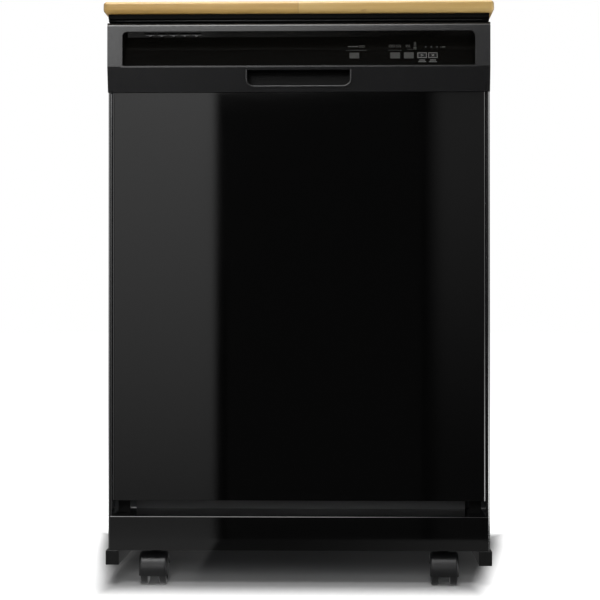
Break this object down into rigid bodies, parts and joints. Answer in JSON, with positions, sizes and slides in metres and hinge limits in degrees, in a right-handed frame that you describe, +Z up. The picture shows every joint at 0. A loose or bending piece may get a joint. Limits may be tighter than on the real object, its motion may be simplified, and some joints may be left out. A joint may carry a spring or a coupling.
{
  "type": "portable dishwasher",
  "caption": "Front-loading dishwasher on swivel casters with a wood worktop, a console door, pull-out racks and spray arms.",
  "frame": {"origin": "on the floor, under the middle of the worktop", "axes": "+X to the right of a person facing the door, +Y to the back, +Z up; the door faces -Y"},
  "size_m": [0.62, 0.668, 0.93],
  "materials": {
    "wood_top": "oiled butcher block of glued pale strips",
    "black_gloss": "black gloss enamel",
    "black_satin": "black satin enamel",
    "console_black": "black satin moulding",
    "panel_gloss": "piano black",
    "key_grey": "grey satin",
    "key_dark": "dark with a pale outline",
    "dark_plastic": "fine grained black moulding",
    "grey_steel": "zinc grey sheet",
    "zinc": "zinc plated",
    "tub_grey": "light grey moulded plastic",
    "white_plastic": "natural white moulding",
    "grey_plastic": "mid grey moulding",
    "rubber_grey": "soft grey rubber",
    "rack_coat": "nylon coat on wire",
    "motor_metal": "cast and pressed metal",
    "pump_blue": "blue grey moulding",
    "heater_metal": "sheathed rod",
    "spring_steel": "bright spring wire",
    "board_green": "coated board",
    "light_clear": "clear light pipe",
    "cap_blue": "blue moulding",
    "wheel_tread": "hard black nylon"
  },
  "bodies": {
    "root": {"worktop": "wood_top", "top_frame": "dark_plastic", "side_panels": "black_gloss", "back_panel": "grey_steel", "hose_bay": "dark_plastic", "cord_gland": "dark_plastic", "hose_spigots": "white_plastic", "base_rails": "black_satin", "crossmembers": "zinc", "kick_plate": "black_gloss", "access_panel": "black_satin", "tub": "tub_grey", "tub_gasket": "rubber_grey", "sump": "grey_plastic", "filter": "grey_plastic", "wash_motor": "motor_metal", "drain_pump": "pump_blue", "inlet_valve": "white_plastic", "heater": "heater_metal", "feed_tube": "grey_plastic", "hinge_brackets": "black_satin", "door_springs": "spring_steel", "latch_strike": "zinc", "cabinet_screws": "zinc"},
    "float_body": {"float": "white_plastic"},
    "lower_arm": {"lower_spray_arm": "grey_plastic"},
    "door": {"door_panel": "black_gloss", "door_liner": "tub_grey", "console": "console_black", "control_panel": "panel_gloss", "handle_pocket": "console_black", "indicator_lights": "light_clear", "control_board": "board_green", "door_latch": "dark_plastic", "dispenser": "white_plastic", "hinge_arms": "zinc", "liner_screws": "zinc"},
    "cycle_key_body": {"cycle_key": "key_grey"},
    "temperature_key_body": {"temperature_key": "key_grey"},
    "dry_key_body": {"dry_key": "key_grey"},
    "start_key_body": {"start_key": "key_dark"},
    "cancel_key_body": {"cancel_key": "key_dark"},
    "lid": {"dispenser_lid": "white_plastic"},
    "cap": {"rinse_cap": "cap_blue"},
    "upper_basket": {"upper_rack": "rack_coat"},
    "upper_arm": {"upper_spray_arm": "grey_plastic"},
    "rollers_front": {"front_rollers": "white_plastic"},
    "rollers_rear": {"rear_rollers": "white_plastic"},
    "lower_basket": {"lower_rack": "rack_coat", "silverware_basket": "grey_plastic"},
    "rack_wheels_front": {"front_rack_wheels": "white_plastic"},
    "rack_wheels_rear": {"rear_rack_wheels": "white_plastic"},
    "front_left_caster_body": {"front_left_caster": "dark_plastic"},
    "front_left_wheels_body": {"front_left_wheels": "wheel_tread"},
    "front_right_caster_body": {"front_right_caster": "dark_plastic"},
    "front_right_wheels_body": {"front_right_wheels": "wheel_tread"},
    "rear_left_caster_body": {"rear_left_caster": "dark_plastic"},
    "rear_left_wheels_body": {"rear_left_wheels": "wheel_tread"},
    "rear_right_caster_body": {"rear_right_caster": "dark_plastic"},
    "rear_right_wheels_body": {"rear_right_wheels": "wheel_tread"}
  },
  "joints": [
    {"name": "door_hinge", "type": "hinge", "parent": "root", "child": "door", "pos_m": [0, -0.288, 0.158], "axis": [1, 0, 0], "range_deg": [0, 90], "stiffness_Nm_per_rad": 16, "deforming": ["door_springs"]},
    {"name": "upper_rack_slide", "type": "slide", "parent": "root", "child": "upper_basket", "axis": [0, -1, 0], "range_m": [0, 0.4]},
    {"name": "lower_rack_slide", "type": "slide", "parent": "root", "child": "lower_basket", "axis": [0, -1, 0], "range_m": [0, 0.165]},
    {"name": "front_rack_wheel_spin", "type": "hinge", "parent": "lower_basket", "child": "rack_wheels_front", "pos_m": [0, -0.145, 0.197], "axis": [1, 0, 0], "range_deg": [0, 592]},
    {"name": "rear_rack_wheel_spin", "type": "hinge", "parent": "lower_basket", "child": "rack_wheels_rear", "pos_m": [0, 0.165, 0.197], "axis": [1, 0, 0], "range_deg": [0, 592]},
    {"name": "front_roller_spin", "type": "hinge", "parent": "root", "child": "rollers_front", "pos_m": [0, -0.228, 0.609], "axis": [1, 0, 0], "range_deg": [0, 2548]},
    {"name": "rear_roller_spin", "type": "hinge", "parent": "root", "child": "rollers_rear", "pos_m": [0, -0.18, 0.609], "axis": [1, 0, 0], "range_deg": [0, 2548]},
    {"name": "lower_arm_spin", "type": "hinge", "parent": "root", "child": "lower_arm", "pos_m": [0, 0, 0.199], "axis": [0, 0, 1], "continuous": true},
    {"name": "upper_arm_spin", "type": "hinge", "parent": "upper_basket", "child": "upper_arm", "pos_m": [0, 0, 0.507], "axis": [0, 0, 1], "continuous": true},
    {"name": "float_lift", "type": "slide", "parent": "root", "child": "float_body", "axis": [0, 0, 1], "range_m": [0, 0.006]},
    {"name": "lid_hinge", "type": "hinge", "parent": "door", "child": "lid", "pos_m": [0, -0.2512, 0.467], "axis": [1, 0, 0], "range_deg": [0, 100]},
    {"name": "rinse_cap_turn", "type": "hinge", "parent": "door", "child": "cap", "pos_m": [0.045, -0.25, 0.43], "axis": [0, 1, 0], "range_deg": [0, 90]},
    {"name": "cycle_key_press", "type": "slide", "parent": "door", "child": "cycle_key_body", "axis": [0, 0.9504, -0.311], "range_m": [0, 0.001], "stiffness_N_per_m": 900, "springref_m": -0.0002},
    {"name": "temperature_key_press", "type": "slide", "parent": "door", "child": "temperature_key_body", "axis": [0, 0.9504, -0.311], "range_m": [0, 0.001], "stiffness_N_per_m": 900, "springref_m": -0.0002},
    {"name": "dry_key_press", "type": "slide", "parent": "door", "child": "dry_key_body", "axis": [0, 0.9504, -0.311], "range_m": [0, 0.001], "stiffness_N_per_m": 900, "springref_m": -0.0002},
    {"name": "start_key_press", "type": "slide", "parent": "door", "child": "start_key_body", "axis": [0, 0.9504, -0.311], "range_m": [0, 0.001], "stiffness_N_per_m": 900, "springref_m": -0.0002},
    {"name": "cancel_key_press", "type": "slide", "parent": "door", "child": "cancel_key_body", "axis": [0, 0.9504, -0.311], "range_m": [0, 0.001], "stiffness_N_per_m": 900, "springref_m": -0.0002},
    {"name": "front_left_swivel", "type": "hinge", "parent": "root", "child": "front_left_caster_body", "pos_m": [-0.232, -0.27, 0.057], "axis": [0, 0, 1], "continuous": true},
    {"name": "front_left_roll", "type": "hinge", "parent": "front_left_caster_body", "child": "front_left_wheels_body", "pos_m": [-0.232, -0.291, 0.025], "axis": [1, 0, 0], "continuous": true},
    {"name": "front_right_swivel", "type": "hinge", "parent": "root", "child": "front_right_caster_body", "pos_m": [0.232, -0.27, 0.057], "axis": [0, 0, 1], "continuous": true},
    {"name": "front_right_roll", "type": "hinge", "parent": "front_right_caster_body", "child": "front_right_wheels_body", "pos_m": [0.232, -0.291, 0.025], "axis": [1, 0, 0], "continuous": true},
    {"name": "rear_left_swivel", "type": "hinge", "parent": "root", "child": "rear_left_caster_body", "pos_m": [-0.232, 0.262, 0.057], "axis": [0, 0, 1], "continuous": true},
    {"name": "rear_left_roll", "type": "hinge", "parent": "rear_left_caster_body", "child": "rear_left_wheels_body", "pos_m": [-0.232, 0.241, 0.025], "axis": [1, 0, 0], "continuous": true},
    {"name": "rear_right_swivel", "type": "hinge", "parent": "root", "child": "rear_right_caster_body", "pos_m": [0.232, 0.262, 0.057], "axis": [0, 0, 1], "continuous": true},
    {"name": "rear_right_roll", "type": "hinge", "parent": "rear_right_caster_body", "child": "rear_right_wheels_body", "pos_m": [0.232, 0.241, 0.025], "axis": [1, 0, 0], "continuous": true}
  ],
  "couplings": [
    {"joint": "upper_rack_slide", "follows": "door_hinge", "m_per_rad": 0.25465},
    {"joint": "lower_rack_slide", "follows": "door_hinge", "m_per_rad": 0.10504},
    {"joint": "front_rack_wheel_spin", "follows": "door_hinge", "ratio": 6.5651},
    {"joint": "rear_rack_wheel_spin", "follows": "door_hinge", "ratio": 6.5651},
    {"joint": "front_roller_spin", "follows": "door_hinge", "ratio": 28.294},
    {"joint": "rear_roller_spin", "follows": "door_hinge", "ratio": 28.294}
  ]
}
